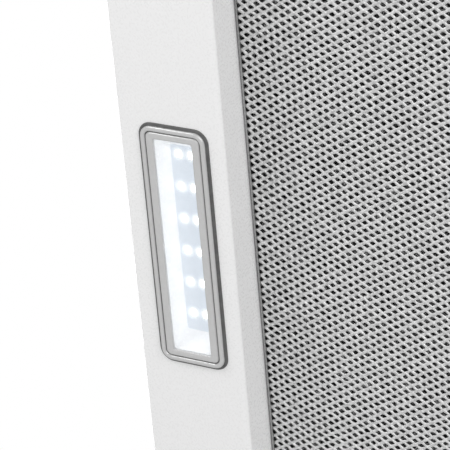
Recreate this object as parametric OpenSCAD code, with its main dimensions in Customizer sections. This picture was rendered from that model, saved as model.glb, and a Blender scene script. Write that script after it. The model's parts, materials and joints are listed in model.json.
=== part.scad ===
// Under cabinet range hood: painted sheet body, two mesh grease filters, two lamps and a flat blower.
// The origin is on the level top face, midway along the width and the depth.
// X runs along the width, +Y points to the kitchen wall, +Z points up.

/* [Body] */
// Width of the hood
body_w = 758; // [750:1:780]
// Depth of the hood, from its front face to its back panel
body_d = 500; // [498:1:510]
// Height of the hood below its top face
body_h = 140; // [140:1:146]
// Depth of the level top
top_d = 360; // [356:1:364]
// Height of the upright front face
front_h = 55; // [54:1:57]
// Thickness of the painted sheet
sheet_t = 1; // [0.9:0.1:1.1]
// Outer radius of the sharp bends
bend_r = 1.4; // [1.3:0.1:2.4]

/* [Underside] */
// Width of the front rail
front_rail_w = 55.2; // [54.6:0.1:56]
// Width of each side rail
side_rail_w = 14; // [13:1:16]
// Width of the back rail
back_rail_w = 40; // [38:1:42]
// Depth of the recess, from the rails up to the filter mesh
recess_h = 19.5; // [19:0.5:21]
// Height of the recess walls
wall_h = 36; // [34:1:38]
// Width of the divider between the filters
divider_w = 12; // [11:1:14]

/* [Filters] */
// Height of a filter
filter_h = 9.8; // [9.4:0.2:10.2]
// Gap between a filter and the front recess wall
front_gap = 0.5; // [0.4:0.1:0.8]
// Gap round the other sides of a filter
filter_gap = 1; // [0.8:0.1:1.2]
// Width of the narrow lip under the mesh
lip_w = 1.1; // [1:0.1:1.6]
// Thickness of the filter frame
frame_t = 0.6; // [0.5:0.1:0.7]
// Angle through which a filter swings down
filter_swing = 80; // [60:5:80]

/* [Lamps] */
// Distance of each lamp from the middle of the hood
lamp_x = 201.4; // [190:0.2:206]
// Length of a lamp bezel
lamp_l = 124.2; // [120:0.2:126]
// Width of a lamp bezel
lamp_w = 34.8; // [34:0.2:36]
// How far the bezel stands below the rail
lamp_rise = 2.2; // [2:0.1:4]
// Length of the lens opening
lens_l = 111.2; // [108:0.2:112]
// Width of the lens opening
lens_w = 20.4; // [19.6:0.2:21]
// Number of diodes in each of the two rows
led_count = 6; // [4:1:6]

/* [Blower] */
// Radius of the impeller
wheel_r = 90; // [86:1:91]
// Number of impeller blades
blade_count = 36; // [24:1:40]
// Radius of the motor shaft
shaft_r = 4; // [3.5:0.5:4.5]

/* [Duct] */
// Width of the duct collar
collar_w = 252; // [246:1:254]
// Depth of the duct collar
collar_d = 81; // [79:1:82]
// Height of the duct collar above the top face
collar_h = 32; // [28:1:36]

/* [Controls] */
// Distance between the button centres
button_pitch = 17; // [16.5:0.5:17.5]
// Travel of a push button
button_travel = 2; // [1.5:0.1:2]

/* [Hidden] */
$fn = 48;

// Faces of the body
side_x = body_w / 2;
shell_x = side_x - sheet_t;
front_y = -body_d / 2;
back_y = body_d / 2;
base_z = -body_h;
slope_y = back_y - top_d;
wall_y = front_y + front_rail_w;
wall_x = side_x - side_rail_w;
back_wall_y = back_y - back_rail_w;
wall_top_z = base_z + wall_h;
mesh_z = base_z + recess_h;
bend_steps = 8;
skip = 0.01;

// Filters
filter_x1 = wall_x - filter_gap;
filter_x0 = divider_w / 2 + filter_gap;
filter_y0 = wall_y + front_gap;
filter_y1 = back_wall_y - filter_gap;
filter_z0 = mesh_z - frame_t;
filter_z1 = filter_z0 + filter_h;
upper_lip_w = 8;
mesh_sheet_t = 0.3;
mesh_layers = 5;
pivot_y = filter_y1 - 12;
pivot_z = filter_z0 + 3.4;
pivot_pin_r = 2;
pivot_hole_r = 2.05;
pivot_pin_l = 6;
clip_w = 12;
clip_t = 0.3;
clip_inset = 20;
clip_top_z = filter_z1 + 5;
clip_drop = 1.1;
clip_nose = 1.5;
ring_x = 48;
ring_y = wall_y + 15;
ring_plate = [20, 20, 0.8];
ring_r = 9;
wire_r = 1.1;
eye_hole_r = 1.17;
eye_r = 2.2;
eye_l = 4;
eye_x = 5;
ring_z = filter_z0 - ring_plate.z - eye_r;

// Lamps
lamp_y = front_y + 28.7;
lamp_corner_r = 6;
lamp_cut = [118, 28];
bead_w = 3;
groove_w = 0.7;
groove_h = 0.6;
lens_t = 1;
lens_seat = 1.5;
lens_z = base_z - 1.6;
lens_fit = 0.1;
lamp_wall_t = 1.2;
lamp_body_h = 12.5;
board_z = base_z + 8.5;
board_t = 1.6;
floor_l = 97.8;
floor_w = 15;
reflector_t = 0.8;
led = [3.5, 2.8, 0.7];
led_pitch = 16.8;
led_row_gap = 6.8;
led_shift = 2.3;

// Blower
blower_x = -60;
blower_y = 20;
blower_top_z = -11;
blower_base_z = -97;
scroll_r0 = wheel_r + 9;
scroll_r1 = wheel_r + 50;
tongue_a = 60;
scroll_step = 6;
outlet_y = 150;
inlet_r = 74;
wheel_top_z = -18.5;
wheel_base_z = -88;
ring_t = 1.5;
blade_t = 0.8;
blade_arc_r = 12;
hub_r = 14;
hub_top_z = -60;
hub_base_z = -76;
motor_r = 42;
motor_top_z = -14;
motor_base_z = -50;
end_plate_h = 3;
boss_h = 5;
boss_r = 10;
shaft_gap = 0.05;
shaft_base_z = -84;
shaft_top_z = -20;
nut_h = 4;
nut_r = 7;
flange_r = 57;
flange_t = 1.5;
mount_r = 51;
mount_hole_r = 2.6;
bush_r = 6;
screw_r = 2.5;
screw_head_r = 4.6;
screw_head_h = 3;
spacer_r = 6;
ear_r = 9;
ear_out = 7;
ear_angles = [130, 215, 300];

// Duct
collar_y = 195;
collar_t = 1;
collar_flange = 12;
collar_gap = 1;
duct_x = collar_w / 2 + 5;
duct_y1 = back_y - 2 * sheet_t;
knockout_z0 = -92;
knockout_z1 = -10;
knockout_w = 254;
knockout_lap = 8;
flap = [collar_w - 6, collar_d - 7, 0.8];
flap_z = 6;
rod_r = 1.5;
rod_hole_r = 1.55;
knuckle_r = 2.4;
rod_y = collar_y - collar_d / 2 + 6;
rivet_r = 1.6;
rivet_head_r = 3.2;
rivet_head_h = 1.2;

// Fixings in the top
keyhole_x = 340;
keyhole_y0 = -60;
keyhole_y1 = 130;
keyhole_r = 5.5;
keyhole_slot_r = 2.8;
keyhole_slot_l = 12;

// Electrical parts
box_x = 270;
box_y = 170;
box = [110, 90, 45];
box_t = 1;
box_inlet_r = 6;
box_inlet_drop = 20;
cover_lip = 1;
cover_tab_inset = 8;
cover_tab_h = 8;
terminal = [36, 18, 14];
terminal_pitch = 12;
terminal_hole_r = 3;
terminal_hole_h = 8;
earth_head_r = 4;
earth_head_h = 4;
earth_r = 2;
earth_l = 6;
cable_x = 295;
cable_y = 190;
cable_hole_r = 11.1;
bushing_neck_r = 11;
bushing_flange_r = 15;
bushing_bore_r = 8;
bushing_l = 6;
bushing_flange_t = 2;
capacitor_r = 16;
capacitor_l = 60;
capacitor = [150, -30, -22];
capacitor_pin = [2, 1, 7];
capacitor_pin_x = 6;
strap_w = 14;
strap_t = 1;
strap_foot = 12;
driver = [44, 112, 26];
driver_x = -300;
driver_y = 0;
driver_corner_r = 4;
driver_ear = [16, 12, 3];

// Controls
button_count = 5;
control_x = 318;
control_z = base_z + 25;
bezel_w = 92;
bezel_h = 26;
bezel_t = 3;
bezel_plate_t = 2;
bezel_cut = [88, 20];
bezel_wall_t = 1;
bezel_depth = 12;
bezel_corner_r = 4;
button_w = 13;
button_fit = 0.3;
button_out = 2;
button_flange_w = 15;
button_flange_t = 1.5;
button_stem = 2.2;
switch_y = front_y + 5;
switch_h = 7;
switch_w = 8;
pcb_t = 1.6;
pcb_h = 18;

// Direction helpers for bent sheet outlines
function unit(v) = v / norm(v);
function left_of(v) = [-v.y, v.x];
function turned(v, a) = [v.x * cos(a) - v.y * sin(a), v.x * sin(a) + v.y * cos(a)];
function polar(r, a) = [r * cos(a), r * sin(a)];
function backwards(list) = [for (i = [len(list) - 1:-1:0]) list[i]];

// Points round the bend at b, on the line that lies e to the left of the path from a to c
function bend(a, b, c, r, e) =
    let (
        d1 = unit(b - a),
        d2 = unit(c - b),
        turn = atan2(cross(d1, d2), d1 * d2),
        s = sign(turn),
        centre = b + s * r * left_of(d1) - d1 * r * tan(abs(turn) / 2)
    )
    [for (k = [0:bend_steps]) centre - s * (r - s * e) * turned(left_of(d1), turn * k / bend_steps)];

function bent_line(p, radii, e) =
    let (n = len(p) - 1)
    concat(
        [p[0] + e * left_of(unit(p[1] - p[0]))],
        [for (i = [1:n - 1]) each bend(p[i - 1], p[i], p[i + 1], radii[i - 1], e)],
        [p[n] + e * left_of(unit(p[n] - p[n - 1]))]
    );

function sheet_outline(p, radii, t) = concat(bent_line(p, radii, 0), backwards(bent_line(p, radii, t)));

// Path of the canopy sheet in the YZ plane: top, slope, front face, front rail, recess wall
canopy_path = [
    [back_y - sheet_t, 0], [slope_y, 0], [front_y, base_z + front_h],
    [front_y, base_z], [wall_y, base_z], [wall_y, wall_top_z]
];
canopy_radii = [6, 6, bend_r, bend_r];

// Draws a YZ outline as a solid of length l that starts at x
module along_x(x, l) {
    translate([x, 0, 0])
        rotate([90, 0, 90])
            linear_extrude(l)
                children();
}

// Draws an XZ outline as a solid from y0 to y1
module along_y(y0, y1) {
    translate([0, y1, 0])
        rotate([90, 0, 0])
            linear_extrude(y1 - y0)
                children();
}

module rounded_rectangle(l, w, r) {
    square([l - 2 * r, w], center = true);
    square([l, w - 2 * r], center = true);
    for (x = [-1, 1], y = [-1, 1])
        translate([x * (l / 2 - r), y * (w / 2 - r)])
            circle(r);
}

module block(x0, x1, y0, y1, z0, z1) {
    translate([x0, y0, z0])
        cube([x1 - x0, y1 - y0, z1 - z0]);
}

module rod(r, z0, z1) {
    translate([0, 0, z0])
        cylinder(r = r, h = z1 - z0);
}

module tube(r, hole_r, z0, z1) {
    difference() {
        rod(r, z0, z1);
        rod(hole_r, z0 - 1, z1 + 1);
    }
}

// A round bar along X, from x0 to x1, about the line at y, z
module bar_x(r, x0, x1, y, z) {
    translate([x0, y, z])
        rotate([0, 90, 0])
            cylinder(r = r, h = x1 - x0);
}

// Left is -X. The left copy of a pair is the mirror of the right one.
module on_side(side) {
    mirror([side == "left" ? 1 : 0, 0, 0])
        children();
}

function button_x(i) = control_x + (i - (button_count - 1) / 2) * button_pitch;

// Sheet metal body

module keyhole() {
    rod(keyhole_r, -sheet_t - 1, 1);
    block(-keyhole_slot_r, keyhole_slot_r, 0, keyhole_slot_l, -sheet_t - 1, 1);
    translate([0, keyhole_slot_l, 0])
        rod(keyhole_slot_r, -sheet_t - 1, 1);
}

module canopy_shell() {
    color("white")
    difference() {
        along_x(-shell_x, 2 * shell_x)
            polygon(sheet_outline(canopy_path, canopy_radii, sheet_t));
        for (x = [-lamp_x, lamp_x])
            translate([x, lamp_y, base_z - 1])
                linear_extrude(sheet_t + 2)
                    rounded_rectangle(lamp_cut.x, lamp_cut.y, 4);
        block(control_x - bezel_cut.x / 2, control_x + bezel_cut.x / 2, front_y - 1, front_y + 2,
            control_z - bezel_cut.y / 2, control_z + bezel_cut.y / 2);
        for (x = [-keyhole_x, keyhole_x], y = [keyhole_y0, keyhole_y1])
            translate([x, y, 0])
                keyhole();
        translate([cable_x, cable_y, 0])
            rod(cable_hole_r, -sheet_t - 1, 1);
        block(-collar_w / 2 - collar_gap, collar_w / 2 + collar_gap,
            collar_y - collar_d / 2 - collar_gap, collar_y + collar_d / 2 + collar_gap, -sheet_t - 1, 1);
        rivet_places()
            rod(rivet_r, -sheet_t - 1, 1);
    }
}

module side_panel() {
    side_path = [
        [back_y, 0], [slope_y, 0], [front_y, base_z + front_h],
        [front_y, base_z], [back_y, base_z]
    ];
    rail_path = [[shell_x, base_z], [wall_x, base_z], [wall_x, wall_top_z]];
    color("white") {
        along_x(shell_x, sheet_t)
            polygon(bent_line(side_path, canopy_radii, 0));
        difference() {
            along_y(wall_y, back_y - sheet_t)
                polygon(concat(
                    bent_line(rail_path, [bend_r], 0),
                    backwards(bent_line(rail_path, [bend_r], -sheet_t))
                ));
            bar_x(pivot_hole_r, wall_x - 1, wall_x + sheet_t + 1, pivot_y, pivot_z);
        }
    }
}

module left_side_panel() {
    on_side("left") side_panel();
}

module right_side_panel() {
    on_side("right") side_panel();
}

module back_panel() {
    path = [[back_wall_y, wall_top_z], [back_wall_y, base_z], [back_y, base_z], [back_y, 0]];
    color("white")
    difference() {
        union() {
            along_x(-wall_x, 2 * wall_x)
                polygon(sheet_outline(path, [bend_r, bend_r], sheet_t));
            for (side = ["left", "right"])
                on_side(side)
                    block(wall_x, shell_x, back_y - sheet_t, back_y, base_z, 0);
        }
        block(-knockout_w / 2, knockout_w / 2, back_y - 2, back_y + 1, knockout_z0, knockout_z1);
    }
}

module centre_divider() {
    w = divider_w / 2;
    color("white")
    difference() {
        block(-w, w, wall_y, back_wall_y, filter_z0, wall_top_z);
        block(-w + sheet_t, w - sheet_t, wall_y - 1, back_wall_y + 1, filter_z0 + sheet_t, wall_top_z + 1);
        bar_x(pivot_hole_r, -w - 1, w + 1, pivot_y, pivot_z);
    }
}

// Duct outlet

module rivet_places() {
    for (x = [-100, 0, 100], y = [-1, 1])
        translate([x, collar_y + y * (collar_d / 2 + collar_flange - 4), 0])
            children();
}

module rivets() {
    color("silver")
    rivet_places() {
        rod(rivet_r, -3 * sheet_t, 0);
        rod(rivet_head_r, -3 * sheet_t - rivet_head_h, -3 * sheet_t);
    }
}

module duct_collar() {
    x = collar_w / 2;
    y0 = collar_y - collar_d / 2;
    y1 = collar_y + collar_d / 2;
    color("gainsboro")
    difference() {
        union() {
            block(-x, x, y0, y1, -2 * sheet_t, collar_h);
            block(-x - collar_flange, x + collar_flange, y0 - collar_flange, y1 + collar_flange,
                -2 * sheet_t, -sheet_t);
        }
        block(-x + collar_t, x - collar_t, y0 + collar_t, y1 - collar_t, -2 * sheet_t - 1, collar_h + 1);
        bar_x(rod_hole_r, -x - 1, x + 1, rod_y, flap_z);
        rivet_places()
            rod(rivet_r, -2 * sheet_t - 1, 1);
    }
}

module damper_flap() {
    x = flap.x / 2;
    y0 = rod_y - 3;
    color("silver")
    difference() {
        union() {
            block(-x, x, y0, y0 + flap.y - 2, flap_z - flap.z / 2, flap_z + flap.z / 2);
            bar_x(knuckle_r, -x, x, rod_y, flap_z);
        }
        bar_x(rod_r, -x - 1, x + 1, rod_y, flap_z);
    }
}

module damper_rod() {
    x = collar_w / 2 + 2;
    color("dimgray")
        bar_x(rod_r, -x, x, rod_y, flap_z);
}

module knockout_plate() {
    x = knockout_w / 2 + knockout_lap;
    color("gainsboro")
        block(-x, x, duct_y1, back_y - sheet_t, knockout_z0 - 4, knockout_z1 + 4);
}

module outlet_duct() {
    z1 = -3 * sheet_t;
    z0 = blower_base_z;
    x0 = blower_x + scroll_r0 * cos(tongue_a);
    x1 = blower_x + scroll_r1;
    inner_x = collar_w / 2 - collar_t;
    inner_y = collar_d / 2 - collar_t;
    color("silver")
    difference() {
        union() {
            block(-duct_x, duct_x, outlet_y, duct_y1, z0, z1);
            block(-duct_x - 8, duct_x + 8, outlet_y - 8, duct_y1, z1, z1 + sheet_t);
        }
        block(-duct_x + 1, duct_x - 1, outlet_y + 1, duct_y1 + 1, z0 + 1, z1);
        block(-inner_x, inner_x, collar_y - inner_y, collar_y + inner_y, z1 - 1, z1 + 2);
        block(x0, x1, outlet_y - 1, outlet_y + 2, z0 + 1, blower_top_z - 1);
        rivet_places()
            rod(rivet_r, z1 - 1, 0);
    }
}

// Blower

function scroll_r(a) = scroll_r0 + (scroll_r1 - scroll_r0) * (a - tongue_a) / (360 - tongue_a);

// Outline of the scroll, grown by g, and open towards +Y where it runs on to y_end
function scroll_points(g, y_end) = concat(
    [[scroll_r0 * cos(tongue_a) - g, y_end]],
    [for (a = [tongue_a:scroll_step:360]) polar(scroll_r(a) + g, a)],
    [[scroll_r1 + g, y_end]]
);

module at_blower() {
    translate([blower_x, blower_y, 0])
        children();
}

module ear_places() {
    for (a = ear_angles)
        translate(polar(scroll_r(a) + ear_out, a))
            children();
    translate([scroll_r0 * cos(tongue_a) - ear_out, outlet_y - blower_y - 15])
        children();
}

module blower_housing() {
    reach = outlet_y - blower_y;
    color("lightsteelblue")
    at_blower()
    difference() {
        union() {
            translate([0, 0, blower_base_z + 1])
                linear_extrude(blower_top_z - blower_base_z - 1)
                    polygon(scroll_points(1, reach));
            ear_places()
                rod(ear_r, blower_top_z - 1, blower_top_z);
        }
        translate([0, 0, blower_base_z])
            linear_extrude(blower_top_z - blower_base_z - 1)
                polygon(scroll_points(0, reach + 1));
        for (a = [90, 210, 330])
            translate(polar(mount_r, a))
                rod(mount_hole_r, blower_top_z - 2, blower_top_z + 1);
    }
}

module blower_inlet_plate() {
    reach = outlet_y - blower_y;
    color("lightsteelblue")
    at_blower() {
        difference() {
            translate([0, 0, blower_base_z])
                linear_extrude(1)
                    polygon(scroll_points(1, reach));
            rod(inlet_r, blower_base_z - 1, blower_base_z + 2);
        }
        tube(inlet_r + 1, inlet_r, blower_base_z, blower_base_z + 6);
    }
}

module inlet_guard() {
    color("dimgray")
    at_blower()
    difference() {
        union() {
            for (r = [22:18:76])
                tube(r + 2.4, r, blower_base_z - 2, blower_base_z);
            for (a = [0:45:135])
                rotate(a)
                    block(-78, 78, -1, 1, blower_base_z - 2, blower_base_z);
        }
        rod(8, blower_base_z - 3, blower_base_z + 1);
    }
}

module blower_spacers() {
    color("gray")
    at_blower()
        ear_places()
            rod(spacer_r, blower_top_z, -sheet_t);
}

module motor_can() {
    color("gray")
    at_blower()
    difference() {
        union() {
            rod(motor_r, motor_base_z, motor_top_z);
            rod(flange_r, motor_top_z - flange_t, motor_top_z);
        }
        rod(shaft_r + 1, motor_base_z - 1, shaft_top_z + 1);
        for (a = [90, 210, 330])
            translate(polar(mount_r, a))
                rod(mount_hole_r, motor_top_z - flange_t - 1, motor_top_z + 1);
    }
}

module motor_end_plate() {
    color("darkgray")
    at_blower()
    difference() {
        union() {
            rod(motor_r + 1, motor_base_z - end_plate_h, motor_base_z);
            rod(boss_r, motor_base_z - end_plate_h - boss_h, motor_base_z);
        }
        rod(shaft_r + shaft_gap, motor_base_z - end_plate_h - boss_h - 1, motor_base_z + 1);
    }
}

module motor_bushes() {
    color("black")
    at_blower()
    for (a = [90, 210, 330])
        translate(polar(mount_r, a))
            tube(bush_r, mount_hole_r, motor_top_z, blower_top_z - 1);
}

module motor_screws() {
    color("silver")
    at_blower()
    for (a = [90, 210, 330])
        translate(polar(mount_r, a)) {
            rod(screw_r, motor_top_z - flange_t, blower_top_z + 3);
            rod(screw_head_r, motor_top_z - flange_t - screw_head_h, motor_top_z - flange_t);
        }
}

module motor_shaft() {
    color("silver")
    at_blower()
        rod(shaft_r, shaft_base_z, shaft_top_z);
}

function arc_points(r, a0, a1, n) = [for (k = [0:n]) polar(r, a0 + (a1 - a0) * k / n)];

module blade() {
    translate([wheel_r - 10, -8])
        rotate(20)
            polygon(concat(
                arc_points(blade_arc_r, 30, 130, 6),
                arc_points(blade_arc_r - blade_t, 130, 30, 6)
            ));
}

module impeller_wheel() {
    inner_r = wheel_r - 17;
    dish = [
        [shaft_r, hub_base_z], [hub_r, hub_base_z], [hub_r, hub_top_z - 3], [50, hub_top_z - 3],
        [inner_r, wheel_top_z - ring_t], [wheel_r, wheel_top_z - ring_t], [wheel_r, wheel_top_z],
        [inner_r - 1, wheel_top_z], [49, hub_top_z - 1.5], [shaft_r, hub_top_z - 1.5]
    ];
    color("whitesmoke")
    at_blower() {
        rotate_extrude()
            polygon(dish);
        tube(wheel_r, inner_r, wheel_base_z, wheel_base_z + ring_t);
        for (i = [0:blade_count - 1])
            rotate(i * 360 / blade_count)
                translate([0, 0, wheel_base_z + ring_t])
                    linear_extrude(wheel_top_z - wheel_base_z - 2 * ring_t)
                        blade();
    }
}

module impeller_nut() {
    color("silver")
    at_blower()
    difference() {
        translate([0, 0, hub_base_z - nut_h])
            cylinder(r = nut_r, h = nut_h, $fn = 6);
        rod(shaft_r, hub_base_z - nut_h - 1, hub_base_z + 1);
    }
}

// Electrical parts inside the body

module run_capacitor() {
    color("lightgray")
    translate(capacitor)
        rotate([-90, 0, 0]) {
            cylinder(r = capacitor_r, h = capacitor_l);
            for (x = [-capacitor_pin_x, capacitor_pin_x])
                translate([x - capacitor_pin.x / 2, -capacitor_pin.y / 2, capacitor_l])
                    cube(capacitor_pin);
        }
}

module capacitor_strap() {
    y = capacitor.y + capacitor_l / 2 - strap_w / 2;
    r = capacitor_r + strap_t;
    color("silver")
    difference() {
        union() {
            translate([capacitor.x, y, capacitor.z])
                rotate([-90, 0, 0])
                    cylinder(r = r, h = strap_w);
            block(capacitor.x - r, capacitor.x + r, y, y + strap_w, capacitor.z, -sheet_t - strap_t);
            block(capacitor.x - r - strap_foot, capacitor.x + r + strap_foot, y, y + strap_w,
                -sheet_t - strap_t, -sheet_t);
        }
        translate([capacitor.x, y - 1, capacitor.z])
            rotate([-90, 0, 0])
                cylinder(r = capacitor_r, h = strap_w + 2);
        block(capacitor.x - capacitor_r, capacitor.x + capacitor_r, y - 1, y + strap_w + 1, capacitor.z, 0);
    }
}

module wiring_box() {
    x = box.x / 2;
    y = box.y / 2;
    z1 = -sheet_t;
    color("silver")
    translate([box_x, box_y, 0])
    difference() {
        block(-x, x, -y, y, z1 - box.z, z1);
        block(-x + box_t, x - box_t, -y + box_t, y - box_t, z1 - box.z - 1, z1 + 1);
        translate([-x - 1, 0, z1 - box_inlet_drop])
            rotate([0, 90, 0])
                cylinder(r = box_inlet_r, h = box_t + 3);
    }
}

module wiring_box_cover() {
    x = box.x / 2;
    y = box.y / 2;
    z = -sheet_t - box.z;
    color("silver")
    translate([box_x, box_y, 0]) {
        block(-x - cover_lip, x + cover_lip, -y - cover_lip, y + cover_lip, z - box_t, z);
        for (y0 = [-y + box_t, y - 2 * box_t])
            block(-x + cover_tab_inset, x - cover_tab_inset, y0, y0 + box_t, z, z + cover_tab_h);
    }
}

module terminal_block() {
    color("ivory")
    translate([box_x - 20, box_y - 10, -sheet_t])
    difference() {
        block(-terminal.x / 2, terminal.x / 2, -terminal.y / 2, terminal.y / 2, -terminal.z, 0);
        for (x = [-terminal_pitch, 0, terminal_pitch])
            translate([x, 0, 0])
                rod(terminal_hole_r, -terminal.z - 1, terminal_hole_h - terminal.z);
    }
}

module earth_screw() {
    color("green")
    translate([box_x - 35, box_y + 22, -sheet_t]) {
        rod(earth_head_r, -earth_head_h, 0);
        rod(earth_r, -earth_head_h - earth_l, -earth_head_h);
    }
}

module cable_bushing() {
    color("black")
    translate([cable_x, cable_y, 0])
    difference() {
        union() {
            rod(bushing_neck_r, -bushing_l, 0);
            rod(bushing_flange_r, -sheet_t - bushing_flange_t, -sheet_t);
        }
        rod(bushing_bore_r, -bushing_l - 1, 1);
    }
}

module lamp_driver() {
    color("white")
    translate([driver_x, driver_y, -sheet_t]) {
        translate([0, 0, -driver.z])
            linear_extrude(driver.z)
                rounded_rectangle(driver.x, driver.y, driver_corner_r);
        for (y = [-1, 1])
            translate([0, y * (driver.y / 2 + driver_ear.y / 2 - 1), 0])
                block(-driver_ear.x / 2, driver_ear.x / 2, -driver_ear.y / 2, driver_ear.y / 2,
                    -driver_ear.z, 0);
    }
}

// Controls on the front face

module control_bezel() {
    x = bezel_w / 2;
    z = bezel_h / 2;
    cx = bezel_cut.x / 2 - 0.5;
    cz = bezel_cut.y / 2 - 0.5;
    color("lightgray")
    translate([control_x, front_y, control_z])
    difference() {
        union() {
            rotate([90, 0, 0])
                linear_extrude(bezel_t)
                    rounded_rectangle(bezel_w, bezel_h, bezel_corner_r);
            block(-cx, cx, 0, bezel_depth, -cz, cz);
        }
        block(-cx + bezel_wall_t, cx - bezel_wall_t, bezel_plate_t - bezel_t, bezel_depth + 1,
            -cz + bezel_wall_t, cz - bezel_wall_t);
        for (i = [0:button_count - 1])
            translate([button_x(i) - control_x, -bezel_t - 1, 0])
                rotate([-90, 0, 0])
                    linear_extrude(bezel_t + 2)
                        square(button_w + 2 * button_fit, center = true);
    }
}

module switch_board() {
    x = bezel_cut.x / 2 - 1;
    color("darkgreen")
    translate([control_x, switch_y + switch_h, control_z])
        block(-x, x, 0, pcb_t, -pcb_h / 2, pcb_h / 2);
}

module switches() {
    color("black")
    for (i = [0:button_count - 1])
        translate([button_x(i), switch_y, control_z])
            block(-switch_w / 2, switch_w / 2, 0, switch_h, -switch_w / 2, switch_w / 2);
}

module button(i) {
    face_y = front_y - bezel_t - button_out;
    flange_y = front_y - bezel_t + bezel_plate_t + 0.1;
    w = button_w / 2;
    f = button_flange_w / 2;
    color("white")
    translate([button_x(i), 0, control_z]) {
        block(-w, w, face_y, flange_y, -w, w);
        block(-f, f, flange_y, flange_y + button_flange_t, -f, f);
        block(-w / 3, w / 3, flange_y + button_flange_t, flange_y + button_flange_t + button_stem,
            -w / 3, w / 3);
    }
}

module light_button() {
    button(0);
}

module off_button() {
    button(1);
}

module low_button() {
    button(2);
}

module medium_button() {
    button(3);
}

module high_button() {
    button(4);
}

// Lamps

module at_lamp(side) {
    on_side(side)
        translate([lamp_x, lamp_y, 0])
            children();
}

module lamp_bezel(side) {
    body = [lamp_cut.x - 0.6, lamp_cut.y - 0.6];
    rebate = [lens_l + 2 * lens_seat, lens_w + 2 * lens_seat];
    low_z = base_z - lamp_rise;
    color("silver")
    at_lamp(side)
    difference() {
        union() {
            translate([0, 0, low_z])
                linear_extrude(lamp_rise)
                    rounded_rectangle(lamp_l, lamp_w, lamp_corner_r);
            translate([0, 0, base_z])
                linear_extrude(lamp_body_h)
                    rounded_rectangle(body.x, body.y, 3.5);
        }
        translate([0, 0, low_z - 1])
            linear_extrude(lamp_rise + 2)
                rounded_rectangle(lens_l, lens_w, 1);
        translate([0, 0, lens_z])
            linear_extrude(lamp_rise + lamp_body_h)
                rounded_rectangle(rebate.x, rebate.y, 1);
        translate([0, 0, low_z - 1])
            linear_extrude(groove_h + 1)
                difference() {
                    rounded_rectangle(lamp_l - 2 * bead_w, lamp_w - 2 * bead_w, lamp_corner_r - bead_w);
                    rounded_rectangle(
                        lamp_l - 2 * (bead_w + groove_w), lamp_w - 2 * (bead_w + groove_w), 2.3);
                }
    }
}

module lamp_lens(side) {
    l = lens_l + 2 * (lens_seat - lens_fit);
    w = lens_w + 2 * (lens_seat - lens_fit);
    color("white", 0.4)
    at_lamp(side)
        translate([0, 0, lens_z])
            linear_extrude(lens_t)
                rounded_rectangle(l, w, 1);
}

// A tapered block from the lens up to the board, grown sideways by g
module taper(g, z0, z1) {
    hull() {
        translate([-lens_l / 2 - g, -lens_w / 2 - g, z0])
            cube([lens_l + 2 * g, lens_w + 2 * g, skip]);
        translate([-floor_l / 2 - g, -floor_w / 2 - g, z1 - skip])
            cube([floor_l + 2 * g, floor_w + 2 * g, skip]);
    }
}

module lamp_reflector(side) {
    z0 = lens_z + lens_t;
    color("white")
    at_lamp(side)
    difference() {
        taper(reflector_t, z0, board_z);
        taper(0, z0 - skip, board_z + skip);
    }
}

module lamp_board(side) {
    color("white")
    at_lamp(side)
        translate([0, 0, board_z])
            linear_extrude(board_t)
                rounded_rectangle(floor_l + 6, floor_w + 6, 1);
}

module lamp_diodes(side) {
    shift = side == "left" ? -led_shift : led_shift;
    color("yellow")
    at_lamp(side)
    for (i = [0:led_count - 1], row = [-1, 1])
        translate([shift + (i - (led_count - 1) / 2) * led_pitch, row * led_row_gap / 2, board_z - led.z / 2])
            cube(led, center = true);
}

module left_lamp_bezel() {
    lamp_bezel("left");
}

module right_lamp_bezel() {
    lamp_bezel("right");
}

module left_lamp_lens() {
    lamp_lens("left");
}

module right_lamp_lens() {
    lamp_lens("right");
}

module left_lamp_reflector() {
    lamp_reflector("left");
}

module right_lamp_reflector() {
    lamp_reflector("right");
}

module left_lamp_board() {
    lamp_board("left");
}

module right_lamp_board() {
    lamp_board("right");
}

module left_lamp_diodes() {
    lamp_diodes("left");
}

module right_lamp_diodes() {
    lamp_diodes("right");
}

// Grease filters

module filter_frame(side) {
    t = frame_t;
    color("lightgray")
    on_side(side)
    difference() {
        block(filter_x0, filter_x1, filter_y0, filter_y1, filter_z0, filter_z1);
        block(filter_x0 + t, filter_x1 - t, filter_y0 + t, filter_y1 - t, filter_z0 + t, filter_z1 - t);
        block(filter_x0 + lip_w, filter_x1 - lip_w, filter_y0 + lip_w, filter_y1 - lip_w,
            filter_z0 - 1, filter_z0 + t + 1);
        block(filter_x0 + upper_lip_w, filter_x1 - upper_lip_w, filter_y0 + upper_lip_w,
            filter_y1 - upper_lip_w, filter_z1 - t - 1, filter_z1 + 1);
    }
}

module filter_mesh(side) {
    t = frame_t;
    step = (filter_h - 2 * t - mesh_sheet_t) / (mesh_layers - 1);
    color("gray")
    on_side(side)
    for (i = [0:mesh_layers - 1])
        block(filter_x0 + t, filter_x1 - t, filter_y0 + t, filter_y1 - t,
            mesh_z + i * step, mesh_z + i * step + mesh_sheet_t);
}

module filter_pins(side) {
    color("silver")
    on_side(side) {
        bar_x(pivot_pin_r, filter_x1, filter_x1 + pivot_pin_l, pivot_y, pivot_z);
        bar_x(pivot_pin_r, filter_x0 - pivot_pin_l + 3, filter_x0, pivot_y, pivot_z);
    }
}

module filter_clips(side) {
    y0 = wall_y;
    low_z = filter_z0 - clip_drop;
    color("silver")
    on_side(side)
    for (x = [filter_x0 + clip_inset, filter_x1 - clip_inset]) {
        block(x - clip_w / 2, x + clip_w / 2, y0, y0 + clip_t, low_z, clip_top_z);
        block(x - clip_w / 2, x + clip_w / 2, y0 + clip_t, y0 + clip_nose, low_z, low_z + clip_t);
    }
}

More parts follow.
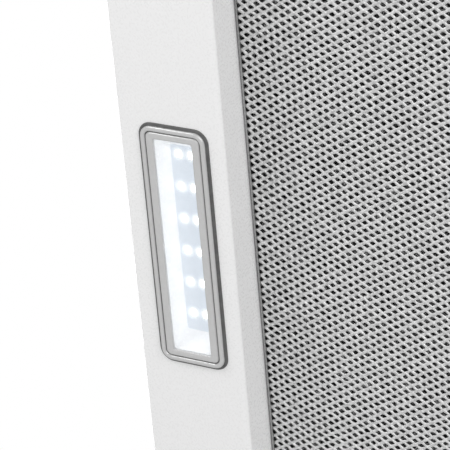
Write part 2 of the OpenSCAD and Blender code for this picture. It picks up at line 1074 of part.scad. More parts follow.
module ring_plate_part(side) {
    color("silver")
    on_side(side)
    translate([ring_x, ring_y, 0])
    difference() {
        union() {
            block(-ring_plate.x / 2, ring_plate.x / 2, -14, ring_plate.y - 14,
                filter_z0 - ring_plate.z, filter_z0);
            for (x = [-eye_x, eye_x]) {
                bar_x(eye_r, x - eye_l / 2, x + eye_l / 2, 0, ring_z);
                block(x - eye_l / 2, x + eye_l / 2, -eye_r, eye_r, ring_z, filter_z0 - ring_plate.z);
            }
        }
        bar_x(eye_hole_r, -ring_plate.x, ring_plate.x, 0, ring_z);
    }
}

module pull_ring(side) {
    color("silver")
    on_side(side)
    translate([ring_x, ring_y, ring_z]) {
        bar_x(wire_r, -ring_r, ring_r, 0, 0);
        for (x = [-ring_r, ring_r])
            translate([x, 0, 0])
                sphere(wire_r);
        rotate([-90, 0, 0])
            rotate_extrude(angle = 180)
                translate([ring_r, 0])
                    circle(wire_r);
    }
}

module left_filter_frame() {
    filter_frame("left");
}

module right_filter_frame() {
    filter_frame("right");
}

module left_filter_mesh() {
    filter_mesh("left");
}

module right_filter_mesh() {
    filter_mesh("right");
}

module left_filter_pins() {
    filter_pins("left");
}

module right_filter_pins() {
    filter_pins("right");
}

module left_filter_clips() {
    filter_clips("left");
}

module right_filter_clips() {
    filter_clips("right");
}

module left_ring_plate() {
    ring_plate_part("left");
}

module right_ring_plate() {
    ring_plate_part("right");
}

module left_pull_ring() {
    pull_ring("left");
}

module right_pull_ring() {
    pull_ring("right");
}

canopy_shell();
left_side_panel();
right_side_panel();
back_panel();
centre_divider();
duct_collar();
damper_flap();
damper_rod();
knockout_plate();
outlet_duct();
rivets();
blower_housing();
blower_inlet_plate();
inlet_guard();
blower_spacers();
motor_can();
motor_end_plate();
motor_bushes();
motor_screws();
motor_shaft();
impeller_wheel();
impeller_nut();
run_capacitor();
capacitor_strap();
wiring_box();
wiring_box_cover();
terminal_block();
earth_screw();
cable_bushing();
lamp_driver();
control_bezel();
switch_board();
switches();
light_button();
off_button();
low_button();
medium_button();
high_button();
left_lamp_bezel();
left_lamp_lens();
left_lamp_reflector();
left_lamp_board();
left_lamp_diodes();
right_lamp_bezel();
right_lamp_lens();
right_lamp_reflector();
right_lamp_board();
right_lamp_diodes();
left_filter_frame();
left_filter_mesh();
left_filter_pins();
left_ring_plate();
left_pull_ring();
left_filter_clips();
right_filter_frame();
right_filter_mesh();
right_filter_pins();
right_ring_plate();
right_pull_ring();
right_filter_clips();
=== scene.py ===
"""Looks of the under cabinet range hood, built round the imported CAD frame. Lengths are in metres."""

import json
import math

import bmesh
import bpy
import numpy as np
from mathutils import Matrix, Vector


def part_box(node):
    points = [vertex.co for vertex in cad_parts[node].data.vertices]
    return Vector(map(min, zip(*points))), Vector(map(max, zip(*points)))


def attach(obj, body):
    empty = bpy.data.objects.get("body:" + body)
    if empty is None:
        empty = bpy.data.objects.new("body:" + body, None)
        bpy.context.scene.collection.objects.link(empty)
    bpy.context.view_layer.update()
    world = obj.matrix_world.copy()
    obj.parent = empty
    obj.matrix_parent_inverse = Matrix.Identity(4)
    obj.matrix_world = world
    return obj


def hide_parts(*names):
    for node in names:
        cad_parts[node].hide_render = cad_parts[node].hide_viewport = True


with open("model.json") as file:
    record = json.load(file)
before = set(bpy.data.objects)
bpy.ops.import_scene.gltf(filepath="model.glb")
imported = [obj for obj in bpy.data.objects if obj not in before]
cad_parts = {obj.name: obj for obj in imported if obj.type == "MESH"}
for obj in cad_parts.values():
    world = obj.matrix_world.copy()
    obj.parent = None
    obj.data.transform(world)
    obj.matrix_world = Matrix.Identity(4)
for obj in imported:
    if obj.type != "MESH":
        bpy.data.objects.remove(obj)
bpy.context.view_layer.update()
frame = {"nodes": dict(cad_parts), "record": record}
nodes = frame["nodes"]
slot_of = {part["node"]: part["material_slot"] for part in frame["record"]["subparts"]}
body_of = {node: body for body, names in frame["record"]["behaviour"]["bodies"].items() for node in names}
MM = 0.001
SIDES = ("left", "right")


# Camera, floor and light

def make_camera():
    eye = Vector((0.4448, 0.4349, -1.1912))
    forward = Vector((-0.4568, -0.4589, 0.7621)).normalized()
    up = Vector((0.8860, -0.1579, 0.4360))
    right = forward.cross(up).normalized()
    up = right.cross(forward)
    data = bpy.data.cameras.new("camera")
    data.lens = 240
    data.sensor_width = 36
    data.clip_start, data.clip_end = 0.05, 60
    camera = bpy.data.objects.new("camera", data)
    axes = Matrix((right, up, -forward)).transposed()
    camera.matrix_world = Matrix.Translation(eye) @ axes.to_4x4()
    bpy.context.collection.objects.link(camera)
    bpy.context.scene.camera = camera


def make_world():
    world = bpy.data.worlds.new("studio")
    bpy.context.scene.world = world
    world.use_nodes = True
    tree = world.node_tree
    tree.nodes.clear()
    out = tree.nodes.new("ShaderNodeOutputWorld")
    back = tree.nodes.new("ShaderNodeBackground")
    ramp = tree.nodes.new("ShaderNodeMapRange")
    split = tree.nodes.new("ShaderNodeSeparateXYZ")
    where = tree.nodes.new("ShaderNodeTexCoord")
    tree.links.new(where.outputs["Generated"], split.inputs[0])
    tree.links.new(split.outputs["Z"], ramp.inputs["Value"])
    # Grey below the horizon and white overhead
    for key, value in (("From Min", 0.2), ("From Max", 0.66), ("To Min", 0.45), ("To Max", 1.0)):
        ramp.inputs[key].default_value = value
    tree.links.new(ramp.outputs["Result"], back.inputs["Strength"])
    back.inputs["Color"].default_value = (1, 1, 1, 1)
    tree.links.new(back.outputs[0], out.inputs["Surface"])


def area_light(name, place, aim, size, power):
    data = bpy.data.lights.new(name, "AREA")
    data.shape = "DISK"
    data.size = size
    data.energy = power
    lamp = bpy.data.objects.new(name, data)
    lamp.location = place
    lamp.rotation_mode = "QUATERNION"
    lamp.rotation_quaternion = (Vector(aim) - Vector(place)).to_track_quat("-Z", "Y")
    lamp.visible_camera = False
    bpy.context.collection.objects.link(lamp)


# Materials

class Shader:
    """A Principled material whose colour, roughness and bump come from patterns in the object's own space."""

    def __init__(self, name, **fixed):
        self.material = bpy.data.materials.new(name)
        self.material.use_nodes = True
        self.tree = self.material.node_tree
        self.tree.nodes.clear()
        out = self.add("OutputMaterial")
        self.base = self.add("BsdfPrincipled")
        self.link(self.base.outputs[0], out.inputs["Surface"])
        self.out = out
        for key, value in fixed.items():
            self.base.inputs[key.replace("_", " ")].default_value = value
        self.where = self.add("TexCoord").outputs["Object"]

    def add(self, kind, **settings):
        node = self.tree.nodes.new("ShaderNode" + kind)
        for key, value in settings.items():
            setattr(node, key, value)
        return node

    def link(self, a, b):
        self.tree.links.new(a, b)

    def scaled(self, stretch):
        node = self.add("Mapping")
        node.inputs["Scale"].default_value = stretch
        self.link(self.where, node.inputs["Vector"])
        return node.outputs["Vector"]

    def noise(self, scale, detail=3.0, stretch=None):
        node = self.add("TexNoise")
        node.inputs["Scale"].default_value = scale
        node.inputs["Detail"].default_value = detail
        self.link(self.scaled(stretch) if stretch else self.where, node.inputs["Vector"])
        return node.outputs["Fac"]

    def cells(self, scale):
        node = self.add("TexVoronoi")
        node.inputs["Scale"].default_value = scale
        self.link(self.where, node.inputs["Vector"])
        return self.ramp(node.outputs["Color"], (0, 0, 0), (1, 1, 1), 0, 1)

    def ramp(self, value, low, high, start=0.3, end=0.7):
        node = self.add("ValToRGB")
        stops = node.color_ramp.elements
        stops[0].position, stops[1].position = start, end
        stops[0].color, stops[1].color = (*low, 1), (*high, 1)
        self.link(value, node.inputs["Fac"])
        return node.outputs["Color"]

    def spread(self, value, low, high):
        node = self.add("MapRange")
        node.inputs["From Min"].default_value, node.inputs["From Max"].default_value = 0.3, 0.7
        node.inputs["To Min"].default_value, node.inputs["To Max"].default_value = low, high
        self.link(value, node.inputs["Value"])
        return node.outputs["Result"]

    def math(self, operation, a, b=0.0):
        node = self.add("Math", operation=operation)
        for socket, value in zip(node.inputs, (a, b)):
            if isinstance(value, (int, float)):
                socket.default_value = value
            else:
                self.link(value, socket)
        return node.outputs["Value"]

    def colour(self, value, low, high, start=0.3, end=0.7):
        self.link(self.ramp(value, low, high, start, end), self.base.inputs["Base Color"])

    def roughness(self, value, low, high):
        self.link(self.spread(value, low, high), self.base.inputs["Roughness"])

    def bump(self, value, height):
        node = self.add("Bump")
        node.inputs["Distance"].default_value = height
        node.inputs["Strength"].default_value = 1.0
        self.link(value, node.inputs["Height"])
        self.link(node.outputs["Normal"], self.base.inputs["Normal"])


def grey(value, tint=(1, 1, 1)):
    return tuple(value * t for t in tint)


def plain_finish(name, low, high, scale, rough, bump_scale, bump_height, stretch=None,
                 detail=3.0, **fixed):
    """Colour and roughness drift over the surface, with a fine grain in relief.
    With detail 0 the drift is soft."""
    shader = Shader(name, **fixed)
    shader.colour(shader.noise(scale, detail, stretch), low, high)
    shader.roughness(shader.noise(scale * 2.3, detail, stretch), *rough)
    shader.bump(shader.noise(bump_scale, 2.0, stretch), bump_height)
    return shader


def galvanised():
    shader = Shader("galvanised_steel", Metallic=1.0)
    spangle = shader.cells(130)
    shader.colour(spangle, grey(0.50, (0.97, 0.99, 1)), grey(0.70, (0.98, 1, 1.02)), 0, 1)
    shader.roughness(shader.noise(90), 0.44, 0.60)
    shader.bump(shader.noise(600), 0.00003)
    return shader


DIODE = (3.5, 2.8, 0.7)  # length, width and height in millimetres
DIODE_COLUMNS, DIODE_ROWS = 6, 2


def diode_floor_with_painted_glow(side):
    """White circuit board of a lamp, with painted light: it glows faintly bluish all over, and brightly in a
    painted soft spot round each diode.
    """
    lo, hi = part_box(side + "_lamp_diodes")
    centre = (lo + hi) / 2
    pitch = (hi.x - lo.x - DIODE[0] * MM) / (DIODE_COLUMNS - 1)
    half_gap = (hi.y - lo.y - DIODE[1] * MM) / 2
    shader = Shader(side + "_lamp_circuit")
    shader.colour(shader.noise(220), (0.82, 0.85, 0.885), (0.86, 0.885, 0.92))
    shader.roughness(shader.noise(400), 0.35, 0.5)
    shader.bump(shader.noise(900), 0.00001)
    split = shader.add("SeparateXYZ")
    shader.link(shader.where, split.inputs[0])
    column = shader.math("DIVIDE", shader.math("SUBTRACT", split.outputs["X"], centre.x), pitch)
    dx = shader.math("MULTIPLY", shader.math("SUBTRACT", shader.math("FRACT", column), 0.5), pitch)
    dy = shader.math("ABSOLUTE", shader.math("SUBTRACT", split.outputs["Y"], centre.y))
    dy = shader.math("SUBTRACT", dy, half_gap)
    squares = [shader.math("POWER", shader.math("ABSOLUTE", d), 2.0) for d in (dx, dy)]
    far = shader.math("SQRT", shader.math("ADD", *squares))
    # A painted pool of light round each diode, fading out over 4.6 mm.
    painted_glow = shader.add("MapRange", interpolation_type="SMOOTHSTEP")
    for key, value in (("From Min", 0.4 * MM), ("From Max", 4.6 * MM), ("To Min", 1.0), ("To Max", 0.0)):
        painted_glow.inputs[key].default_value = value
    shader.link(far, painted_glow.inputs["Value"])
    inside = shader.math("LESS_THAN", shader.math("ABSOLUTE", column), DIODE_COLUMNS / 2)
    light = shader.math("MULTIPLY", painted_glow.outputs["Result"], inside)
    # The board's emission is painted light: a faint bluish glow all over, near white in the pools round the
    # diodes.
    colour = shader.ramp(light, (0.20, 0.255, 0.315), (0.98, 0.985, 0.97), 0, 1)
    shader.link(colour, shader.base.inputs["Emission Color"])
    shader.base.inputs["Emission Strength"].default_value = 0.55
    return shader


def build_materials():
    made = {}

    def plain(name, *look, **fixed):
        made[name] = plain_finish(name, *look, **fixed)

    plain("white_paint", grey(0.8455), grey(0.8495), 420, (0.27, 0.285), 420, 0.000004,
          detail=0.0, Coat_Weight=0.15)
    made["galvanised_steel"] = galvanised()
    plain("zinc_fastener", (0.50, 0.51, 0.52), (0.62, 0.62, 0.62), 160, (0.42, 0.56), 900, 0.00001,
          Metallic=1.0)
    plain("dark_wire", grey(0.035), grey(0.06), 120, (0.35, 0.5), 700, 0.00002)
    plain("motor_steel", (0.055, 0.06, 0.07), (0.09, 0.095, 0.105), 60, (0.35, 0.5), 500, 0.00003)
    plain("cast_alloy", grey(0.42), grey(0.56), 120, (0.4, 0.58), 1300, 0.00006, Metallic=1.0)
    plain("ground_steel", grey(0.6), grey(0.72), 90, (0.12, 0.22), 900, 0.000006,
          (1, 1, 8), Metallic=1.0)
    plain("black_rubber", grey(0.09), grey(0.115), 400, (0.6, 0.75), 900, 0.00001, detail=0.0)
    plain("ivory_plastic", (0.66, 0.60, 0.43), (0.74, 0.68, 0.50), 90, (0.35, 0.5), 900, 0.00002)
    plain("green_fastener", (0.02, 0.17, 0.05), (0.03, 0.24, 0.08), 160, (0.25, 0.4), 900, 0.00001)
    plain("white_plastic", grey(0.80), grey(0.83), 500, (0.28, 0.36), 900, 0.000006, detail=0.0)
    plain("grey_plastic", grey(0.57), grey(0.59), 600, (0.28, 0.32), 700, 0.000004,
          detail=0.0, Metallic=0.4)
    plain("circuit_board", (0.01, 0.09, 0.03), (0.02, 0.14, 0.05), 300, (0.3, 0.45), 900, 0.00002)
    plain("black_plastic", grey(0.02), grey(0.035), 90, (0.35, 0.5), 1200, 0.00003)
    # The reflector glows faintly (emission 0.15): painted light standing in for the diodes' light on its
    # walls.
    plain("white_reflector", (0.92, 0.925, 0.935), (0.94, 0.945, 0.95), 400, (0.24, 0.28), 500, 0.000004,
          detail=0.0, Emission_Color=(1.0, 0.995, 0.98, 1.0), Emission_Strength=0.15)
    # Frame aluminium, kept darker (0.34 to 0.44) than bare aluminium: partly its own grey, partly painted
    # shade on the frame's lip.
    plain("filter_aluminium", grey(0.34), grey(0.44), 70, (0.3, 0.45), 500, 0.00002,
          (1, 6, 6), Metallic=1.0)
    made["filter_mesh"] = mesh_finish("filter_mesh", 0.60, 0.88)
    # Deeper layers: aluminium darkened to 0.07 as painted shade inside the filter, with random patches up to
    # 0.75, near the front layer's own grey.
    made["inner_mesh_painted_shade"] = mesh_finish("inner_mesh_painted_shade", 0.07, 0.75, scale=420, start=0.44, end=0.64)
    made["clear_lens"] = clear_lens()
    made["lit_diode"] = lit_diode()
    return made


def mesh_finish(name, low, high, scale=700, start=0.3, end=0.7):
    shader = Shader(name, Metallic=1.0)
    shader.colour(shader.noise(scale, 2.0), grey(low), grey(high), start, end)
    shader.roughness(shader.noise(500), 0.52, 0.66)
    shader.bump(shader.noise(2500, 2.0), 0.00004)
    return shader


def clear_lens():
    """A thin clear pane: straight through, with a faint gloss."""
    shader = Shader("clear_lens", Roughness=0.06)
    through = shader.add("BsdfTransparent")
    gloss = shader.add("BsdfGlossy")
    gloss.inputs["Roughness"].default_value = 0.05
    pattern = shader.noise(300)
    colour = shader.ramp(pattern, (0.965, 0.97, 0.975), (0.975, 0.98, 0.985))
    shader.link(colour, through.inputs["Color"])
    edge = shader.add("LayerWeight")
    edge.inputs["Blend"].default_value = 0.08
    mix = shader.add("MixShader")
    shader.link(edge.outputs["Facing"], mix.inputs["Fac"])
    shader.link(through.outputs[0], mix.inputs[1])
    shader.link(gloss.outputs[0], mix.inputs[2])
    shader.link(mix.outputs[0], shader.out.inputs["Surface"])
    shader.tree.nodes.remove(shader.base)
    return shader


def lit_diode():
    shader = Shader("lit_diode", Roughness=0.3, Emission_Strength=3.0)
    shader.colour(shader.noise(900), (0.95, 0.93, 0.80), (1.0, 0.97, 0.86))
    shader.link(shader.ramp(shader.noise(700), (0.95, 0.975, 1.0), (0.98, 0.99, 1.0)),
                shader.base.inputs["Emission Color"])
    return shader


# Geometry helpers

def add_object(name, mesh, body, slot, *replaced):
    piece = bpy.data.objects.new(name, mesh)
    bpy.context.collection.objects.link(piece)
    if not mesh.materials:
        mesh.materials.append(finishes[slot].material)
    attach(piece, body)
    if replaced:
        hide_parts(*replaced)
    return piece


def mesh_from(name, points, faces):
    mesh = bpy.data.meshes.new(name)
    mesh.from_pydata(points, [], faces)
    mesh.update()
    return mesh


def smooth(mesh, angle):
    """Only edges sharper than angle, in degrees, stay sharp."""
    mesh.polygons.foreach_set("use_smooth", [True] * len(mesh.polygons))
    mesh.set_sharp_from_angle(angle=math.radians(angle))


def band(a, b, n):
    """Faces between two closed rings of n points that start at points a and b."""
    return [(a + k, a + (k + 1) % n, b + (k + 1) % n, b + k) for k in range(n)]


def rounded_ring(half_x, half_y, radius, z, centre, steps=8):
    """Points of a rounded rectangle at height z, anticlockwise from above."""
    radius = max(min(radius, half_x, half_y), 0.00002)
    points = []
    for corner, (sx, sy) in enumerate(((1, 1), (-1, 1), (-1, -1), (1, -1))):
        for k in range(steps + 1):
            a = math.pi / 2 * (corner + k / steps)
            points.append((centre[0] + sx * (half_x - radius) + radius * math.cos(a),
                           centre[1] + sy * (half_y - radius) + radius * math.sin(a), z))
    return points


def loft(name, rings, closed=True, caps=False, smooth_angle=40, second=()):
    """Joins equal rings one after the other, and the last to the first when closed.
    The spans numbered in second take the mesh's second material."""
    n = len(rings[0])
    points = [p for ring in rings for p in ring]
    faces = []
    spans = len(rings) if closed else len(rings) - 1
    for i in range(spans):
        faces += band(i * n, (i + 1) % len(rings) * n, n)
    if caps:
        faces.append(tuple(range(n))[::-1])
        faces.append(tuple(range((len(rings) - 1) * n, len(rings) * n)))
    mesh = mesh_from(name, points, faces)
    for span in second:
        for face in mesh.polygons[span * n:(span + 1) * n]:
            face.material_index = 1
    fix_normals(mesh)
    smooth(mesh, smooth_angle)
    return mesh


def fix_normals(mesh):
    work = bmesh.new()
    work.from_mesh(mesh)
    bmesh.ops.recalc_face_normals(work, faces=work.faces)
    work.to_mesh(mesh)
    work.free()


def finished(node, width):
    """A copy of the CAD node's shape, with coplanar faces joined and its sharp edges rounded."""
    work = bmesh.new()
    work.from_mesh(nodes[node].data)
    bmesh.ops.remove_doubles(work, verts=work.verts, dist=0.000001)
    bmesh.ops.dissolve_limit(work, angle_limit=math.radians(1.0), verts=work.verts, edges=work.edges)
    sharp = [e for e in work.edges if len(e.link_faces) == 2 and e.calc_face_angle(0) > math.radians(30)]
    bmesh.ops.bevel(work, geom=sharp, offset=width, offset_type="OFFSET", segments=2, profile=0.5,
                    affect="EDGES", clamp_overlap=True)
    mesh = bpy.data.meshes.new(node + "_finished")
    work.to_mesh(mesh)
    work.free()
    smooth(mesh, 35)
    mesh.materials.clear()
    piece = add_object(node + "_finished", mesh, body_of[node], slot_of[node], node)
    modifier = piece.modifiers.new("flat_faces", "WEIGHTED_NORMAL")
    modifier.keep_sharp = True
    return piece


# Grease filter media

ROUND_SECTION = ((-0.5, 0.02), (-0.27, -0.40), (0.27, -0.40), (0.5, 0.02), (0.30, 0.5), (-0.30, 0.5))
FLAT_SECTION = ((-0.5, -0.5), (0.5, -0.5), (0.5, 0.5), (-0.5, 0.5))
ROWS_IN_PIECE = 40
BOND = 0.055             # half length of a bond, as a share of the long way of a diamond
ROW_DRIFT = 0.012        # how far a row strays from the one before, as a share of the short way
DRIFT_ALONG = 0.12       # how much of that stray shows along the row
ALONG_JITTER = 0.01      # as a share of the long way
ACROSS_JITTER = 0.10 * MM
HEIGHT_JITTER = 0.04 * MM
WIDTH_JITTER = 0.08      # as a share of the strand
TILT_JITTER = 0.20       # radians


def expanded_sheet(name, x_range, y_range, z, short, long, strand, thickness, tilt, seed,
                   turned=False, plain=False):
    """Rows of wavy strands that meet at the bonds, as in slit and stretched aluminium foil.
    Rows lie side by side along the short way of the diamonds, and each runs along the long way."""
    draw = np.random.default_rng(seed)
    (r0, r1), (s0, s1) = (y_range, x_range) if turned else (x_range, y_range)
    row_gap = short / 2
    swing = short / 4 - 0.04 * strand
    rows = int((r1 - r0 - strand) / row_gap)
    station = np.array([-BOND, BOND, 0.25, 0.5 - BOND, 0.5 + BOND, 0.75])
    level = np.array([1, 1, 0.0, -1, -1, 0.0])
    if plain:
        station, level = station[[0, 1, 3, 4]], level[[0, 1, 3, 4]]
    periods = int((s1 - s0) / long)
    along = (s0 + long * (np.arange(periods)[:, None] + 0.1 + station[None, :])).ravel()
    wave = np.tile(level, periods)
    count = len(along) - 1
    meshes = []
    for first in range(0, rows, ROWS_IN_PIECE):
        last = min(first + ROWS_IN_PIECE, rows)
        number = np.arange(first, last)
        grid = (len(number), count + 1)
        sign = np.where(number % 2, -1.0, 1.0)[:, None]
        drift = np.cumsum(draw.normal(0, ROW_DRIFT * short, (len(number), 1)), 0)
        shape = sign * wave[None, :]
        jitter = draw.normal(0, 1, (*grid, 2))
        across = (r0 + row_gap * (number[:, None] + 0.7) + swing * shape
                  + ACROSS_JITTER * jitter[..., 0])
        slope = draw.normal(tilt, TILT_JITTER, grid)
        height = z + HEIGHT_JITTER * jitter[..., 1]
        place = along[None, :] + drift * DRIFT_ALONG + draw.normal(0, ALONG_JITTER * long, grid)
        width = strand * (1 + WIDTH_JITTER * draw.normal(0, 1, grid))
        corners = []
        for u, v in FLAT_SECTION if plain else ROUND_SECTION:
            du = u * width * np.cos(slope) - v * thickness * np.sin(slope)
            dv = u * width * np.sin(slope) + v * thickness * np.cos(slope)
            corners.append(np.stack([across + du, place, height + dv], -1))
        points = np.stack(corners, 2)
        if turned:
            points = points[..., [1, 0, 2]]
        meshes.append(strand_mesh(f"{name}_{first // ROWS_IN_PIECE}", points, turned, not plain))
    return meshes


def strand_mesh(name, points, flip, soft):
    """points is rows x stations x section corners x 3."""
    rows, stations, corners = points.shape[:3]
    index = np.arange(rows * stations * corners).reshape(rows, stations, corners)
    quads = []
    for c in range(corners):
        d = (c + 1) % corners
        corner = (index[:, :-1, c], index[:, :-1, d], index[:, 1:, d], index[:, 1:, c])
        quads.append(np.stack(corner, -1).reshape(-1, 4))
    quads = np.concatenate(quads)
    ends = np.concatenate([index[:, 0, ::-1], index[:, -1, :]])
    if not flip:
        quads, ends = quads[:, ::-1], ends[:, ::-1]
    loops = np.concatenate([quads.ravel(), ends.ravel()])
    starts = np.concatenate([np.arange(len(quads)) * 4,
                             quads.size + np.arange(len(ends)) * corners])
    mesh = bpy.data.meshes.new(name)
    mesh.vertices.add(points.size // 3)
    mesh.vertices.foreach_set("co", points.astype(np.float32).ravel())
    mesh.loops.add(loops.size)
    mesh.loops.foreach_set("vertex_index", loops.astype(np.int32))
    mesh.polygons.add(len(starts))
    mesh.polygons.foreach_set("loop_start", starts.astype(np.int32))
    mesh.update(calc_edges=True)
    mesh.validate()
    mesh.polygons.foreach_set("use_smooth", np.full(len(mesh.polygons), soft))
    return mesh


def make_media():
    lo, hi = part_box("right_filter_frame")
    edge = 0.7 * MM
    x_range, y_range = (lo.x + edge, hi.x - edge), (lo.y + edge, hi.y - edge)
    base_z = lo.z + 0.6 * MM
    layers = (
        expanded_sheet("front_media", x_range, y_range, base_z + 0.50 * MM, short=4.0 * MM,
                       long=6.34 * MM, strand=2.15 * MM, thickness=1.15 * MM,
                       tilt=math.radians(-12), seed=11),
        expanded_sheet("middle_media", x_range, y_range, base_z + 1.9 * MM, short=4.3 * MM,
                       long=6.9 * MM, strand=0.8 * MM, thickness=0.30 * MM,
                       tilt=math.radians(-24), seed=12, turned=True, plain=True),
        expanded_sheet("back_media", x_range, y_range, base_z + 6.2 * MM, short=4.8 * MM,
                       long=7.9 * MM, strand=3.0 * MM, thickness=0.30 * MM,
                       tilt=math.radians(24), seed=13, plain=True),
    )
    left_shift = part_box("left_filter_frame")[0].x - lo.x
    for side in SIDES:
        for layer in layers:
            for mesh in layer:
                piece = bpy.data.objects.new(f"{side}_{mesh.name}", mesh)
                piece.location.x = left_shift if side == "left" else 0
                bpy.context.collection.objects.link(piece)
                if not mesh.materials:
                    # Layers behind the front one take the aluminium darkened as painted shade.
                    finish = "filter_mesh" if layer is layers[0] else "inner_mesh_painted_shade"
                    mesh.materials.append(finishes[finish].material)
                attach(piece, side + "_filter")
                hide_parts(side + "_filter_mesh")


def make_filter_frame(side):
    node = side + "_filter_frame"
    lo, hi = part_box(node)
    centre, half = (lo + hi) / 2, (hi - lo) / 2
    lip, upper, sheet = 1.1 * MM, 8 * MM, 0.6 * MM
    profile = [
        (lip, lo.z + sheet), (lip, lo.z + 0.15 * MM), (lip - 0.15 * MM, lo.z), (0.5 * MM, lo.z),
        (0.15 * MM, lo.z + 0.15 * MM), (0, lo.z + 0.5 * MM), (0, hi.z - 0.6 * MM),
        (0.18 * MM, hi.z - 0.18 * MM), (0.6 * MM, hi.z), (upper - 0.15 * MM, hi.z),
        (upper, hi.z - 0.15 * MM), (upper, hi.z - sheet),
        (sheet + 0.2 * MM, hi.z - sheet), (sheet, hi.z - sheet - 0.2 * MM), (sheet, lo.z + sheet),
    ]
    rings = [rounded_ring(half.x - d, half.y - d, 1.5 * MM - d, z, centre, 4) for d, z in profile]
    add_object(node + "_finished", loft(node, rings), side + "_filter", slot_of[node], node)


# Lamps

BEZEL_RISE = 2.2 * MM


def make_lamp(side):
    """Each ring of a profile is its inset from the bezel's outline in x and in y, its corner
    radius, and its height above the face of the rail, all in millimetres."""
    lo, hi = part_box(side + "_lamp_bezel")
    centre, half = (lo + hi) / 2, (hi - lo) / 2
    rail = lo.z + BEZEL_RISE

    def ring(dx, dy, radius, z, steps=8):
        return rounded_ring(half.x - dx * MM, half.y - dy * MM, radius * MM, rail + z * MM, centre, steps)

    bezel = [
        (1.2, 1.2, 4.9, -0.3), (-0.85, -0.85, 6.8, -0.3), (-0.85, -0.85, 6.8, -0.5), (-0.7, -0.7, 6.7, -0.65),
        (0.12, 0.12, 5.9, -0.65), (0.3, 0.3, 5.7, -0.7), (0.42, 0.42, 5.6, -0.85), (0.42, 0.42, 5.6, -1.05),
        (0.42, 0.42, 5.6, -1.35), (0.5, 0.5, 5.5, -1.65), (0.75, 0.75, 5.3, -1.95), (1.2, 1.2, 4.8, -2.15),
        (1.8, 1.8, 4.2, -2.2), (2.35, 2.35, 3.7, -2.1), (2.65, 2.65, 3.4, -1.85), (2.78, 2.78, 3.2, -1.6),
        (2.84, 2.84, 3.1, -1.35), (3.26, 3.26, 2.8, -1.35), (3.36, 3.36, 2.7, -1.6), (3.5, 3.5, 2.6, -1.85),
        (3.75, 3.75, 2.4, -2.03), (4.2, 4.3, 2.2, -2.1), (5.5, 6.0, 1.6, -2.1), (6.0, 6.6, 1.3, -2.05),
        (6.35, 7.02, 1.1, -1.95), (6.5, 7.2, 1.0, -1.8), (6.5, 7.2, 1.0, -1.6), (5.0, 5.7, 1.0, -1.6),
        (5.0, 5.7, 1.0, 12.4), (3.4, 3.7, 3.5, 12.4), (3.4, 3.7, 3.5, 0.02), (2.0, 2.0, 4.5, 0.02),
        (2.0, 2.0, 4.5, -0.3),
    ]
    node = side + "_lamp_bezel"
    # The outer flange and the groove floor take black rubber as painted shade: a dark outline round the bezel
    # and a dark line in its groove.
    outline_and_groove_painted_shade = (0, 1, 2, 3, 4, 5, 6, 16)
    moulded = loft(node, [ring(*r) for r in bezel], smooth_angle=50, second=outline_and_groove_painted_shade)
    for finish in ("grey_plastic", "black_rubber"):
        moulded.materials.append(finishes[finish].material)
    add_object(node + "_moulded", moulded, "canopy", slot_of[node], node)
    # A dark rubber ring past the bezel's outline, as painted shade: the shadow gap where the bezel meets the
    # rail.
    shadow_ring = [(-0.95, -0.95, 6.9, 0), (-0.95, -0.95, 6.9, -0.2), (-0.8, -0.8, 6.8, -0.3),
              (1.9, 1.9, 4.5, -0.3), (1.9, 1.9, 4.5, 0)]
    shadow_ring_mesh = loft(side + "_lamp_gasket", [ring(*r) for r in shadow_ring], smooth_angle=50)
    add_object(side + "_lamp_gasket", shadow_ring_mesh, "canopy", "black_rubber")

    node = side + "_lamp_reflector"
    ix, iy = 6.5, 7.2
    trough = [
        (ix, iy, 1.0, -0.6), (ix + 0.25, iy + 0.1, 1.0, -0.2), (ix + 6.2, iy + 2.5, 1.0, 7.9),
        (ix + 6.7, iy + 2.7, 0.9, 8.5), (ix + 5.9, iy + 1.9, 1.2, 8.5), (5.2, 5.9, 0.9, -0.3),
        (5.2, 5.9, 0.9, -0.6),
    ]
    add_object(node + "_formed", loft(node, [ring(*r) for r in trough]), "canopy", slot_of[node], node)

    node = side + "_lamp_lens"
    rings = [ring(5.3, 6.0, 0.9, -1.6), ring(5.1, 5.8, 1.0, -1.45),
             ring(5.1, 5.8, 1.0, -0.75), ring(5.3, 6.0, 0.9, -0.6)]
    add_object(node + "_pane", loft(node, rings, closed=False, caps=True), "canopy", slot_of[node], node)

    node = side + "_lamp_board"
    rings = [ring(10.3, 7.0, 1.0, 8.5), ring(10.2, 6.9, 1.1, 8.6),
             ring(10.2, 6.9, 1.1, 10.0), ring(10.3, 7.0, 1.0, 10.1)]
    # The board carries the painted glow round the diodes.
    board = loft(node, rings, closed=False, caps=True)
    board.materials.append(diode_floor_with_painted_glow(side).material)
    add_object(node + "_glowing", board, "canopy", slot_of[node], node)

    make_diodes(side)


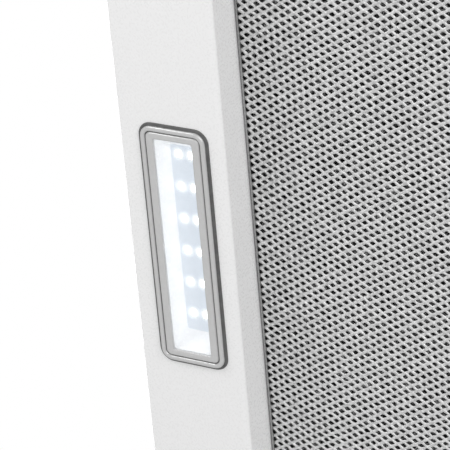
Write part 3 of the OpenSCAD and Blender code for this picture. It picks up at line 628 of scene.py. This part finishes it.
def make_diodes(side):
    """Each diode is a square body with rounded edges and a soft dome of light-giving resin on it."""
    node = side + "_lamp_diodes"
    lo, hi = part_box(node)
    size = Vector(DIODE) * MM
    # Share of the width and of the height at each ring of a diode
    profile = [(1.0, 0.0), (1.0, 0.28), (0.94, 0.36), (0.78, 0.40), (0.76, 0.55), (0.66, 0.80),
               (0.45, 1.0), (0.2, 1.08)]
    points, faces = [], []
    for i in range(DIODE_COLUMNS):
        for j in range(DIODE_ROWS):
            at = (lo.x + size.x / 2 + (hi.x - lo.x - size.x) * i / (DIODE_COLUMNS - 1),
                  lo.y + size.y / 2 + (hi.y - lo.y - size.y) * j / (DIODE_ROWS - 1))
            first = len(points)
            rings = [rounded_ring(size.x / 2 * r, size.y / 2 * r, (0.3 + 1.1 * (1 - r)) * MM,
                                  hi.z - size.z * h, at, 3) for r, h in profile]
            n = len(rings[0])
            points += [p for ring in rings for p in ring]
            for k in range(len(rings) - 1):
                faces += band(first + k * n, first + (k + 1) * n, n)
            faces.append(tuple(range(first, first + n)))
            faces.append(tuple(range(first + (len(rings) - 1) * n, first + len(rings) * n)))
    mesh = mesh_from(node, points, faces)
    fix_normals(mesh)
    smooth(mesh, 50)
    add_object(node + "_domes", mesh, "canopy", slot_of[node], node)


# Marks on the push buttons

MARK_RELIEF = 0.3 * MM
MARK_SLOPE = 0.12 * MM
MARK_SUNK = 0.05 * MM
MARK_CORNER = 0.5 * MM


def set_face_back(piece):
    """Moves the front of a button in by the height of its mark, so the mark ends level with the CAD face."""
    front = min(vertex.co.y for vertex in piece.data.vertices)
    for vertex in piece.data.vertices:
        if vertex.co.y < front + 1.0 * MM:
            vertex.co.y += MARK_RELIEF


def bar(points, faces, centre, half, y):
    """A small raised bar with sloped sides, standing out towards -Y from the face at y."""
    first = len(points)
    for grow, out in ((0, -MARK_SUNK), (0, MARK_RELIEF - MARK_SLOPE), (-MARK_SLOPE, MARK_RELIEF)):
        ring = rounded_ring(half[0] + grow, half[1] + grow, MARK_CORNER + grow, 0, centre, 3)
        points += [(p[0], y - out, p[1]) for p in ring]
    n = (len(points) - first) // 3
    for k in range(2):
        faces += band(first + k * n, first + (k + 1) * n, n)
    faces.append(tuple(range(first, first + n)))
    faces.append(tuple(range(first + 2 * n, first + 3 * n)))


def make_mark(key, bars):
    """bars holds, in millimetres, the middle and the half size of each bar of the mark."""
    lo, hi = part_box(key + "_button")
    middle = (lo + hi) / 2
    points, faces = [], []
    for x, z, half_x, half_z in bars:
        centre = (middle.x + x * MM, middle.z + z * MM)
        bar(points, faces, centre, (half_x * MM, half_z * MM), lo.y + MARK_RELIEF)
    mesh = mesh_from(key + "_mark", points, faces)
    fix_normals(mesh)
    smooth(mesh, 30)
    add_object(key + "_mark", mesh, body_of[key + "_button"], "black_plastic")


make_camera()
make_world()
finishes = build_materials()

FLOOR_Z = -1.45
FLOOR_SIZE = 60
LAMP_CORNER = (-0.2, -0.2, -0.12)
bpy.ops.mesh.primitive_plane_add(size=FLOOR_SIZE, location=(0, 0, FLOOR_Z))
floor = bpy.context.active_object
floor.name = "floor"
pale_floor = plain_finish("pale_floor", grey(0.68), grey(0.70), 2, (0.5, 0.6), 40, 0.0002)
floor.data.materials.append(pale_floor.material)

area_light("fill_from_below", (0.95, 1.1, -1.15), LAMP_CORNER, size=1.3, power=16.5)
area_light("edge_light", (0.93, -1.03, -0.70), LAMP_CORNER, size=0.5, power=5)
area_light("key_light", (-2.4, -3.0, 2.4), (0, 0, 0), size=2.2, power=50)

finishes["lamp_circuit"] = finishes["white_plastic"]
for node, piece in nodes.items():
    for material_slot in piece.material_slots:
        material_slot.material = finishes[slot_of[node]].material

make_media()
for side in SIDES:
    make_filter_frame(side)
    make_lamp(side)

# Width of the broken edges, in millimetres
EDGES = {
    "canopy_shell": 0.22, "left_side_panel": 0.3, "right_side_panel": 0.3, "back_panel": 0.25,
    "centre_divider": 0.2, "duct_collar": 0.25, "damper_flap": 0.2, "control_bezel": 0.4,
    "light_button": 0.6, "off_button": 0.6, "low_button": 0.6, "medium_button": 0.6, "high_button": 0.6,
}
for node, width in EDGES.items():
    piece = finished(node, width * MM)
    if node.endswith("_button"):
        set_face_back(piece)

BAR_HALF = 0.55
RAY_REACH = 3.4
RAYS = ((1, 0), (0.5, 0.87), (-0.5, 0.87), (-1, 0), (-0.5, -0.87), (0.5, -0.87))
BAR_PITCH = 2.1
BAR_STEP = 0.7
make_mark("light", [(0, 0, 1.6, 1.6)] + [(RAY_REACH * c, RAY_REACH * s, BAR_HALF, BAR_HALF) for c, s in RAYS])
make_mark("off", [(0, 0, BAR_HALF, 2.6)])
for count, key in enumerate(("low", "medium", "high"), 1):
    make_mark(key, [(BAR_PITCH * (i - (count - 1) / 2), -2.3 + BAR_STEP * (i + 1),
                     BAR_HALF, BAR_STEP * (i + 1) + 0.3) for i in range(count)])

scene = bpy.context.scene
scene.view_settings.view_transform = "Standard"
scene.view_settings.look = "None"
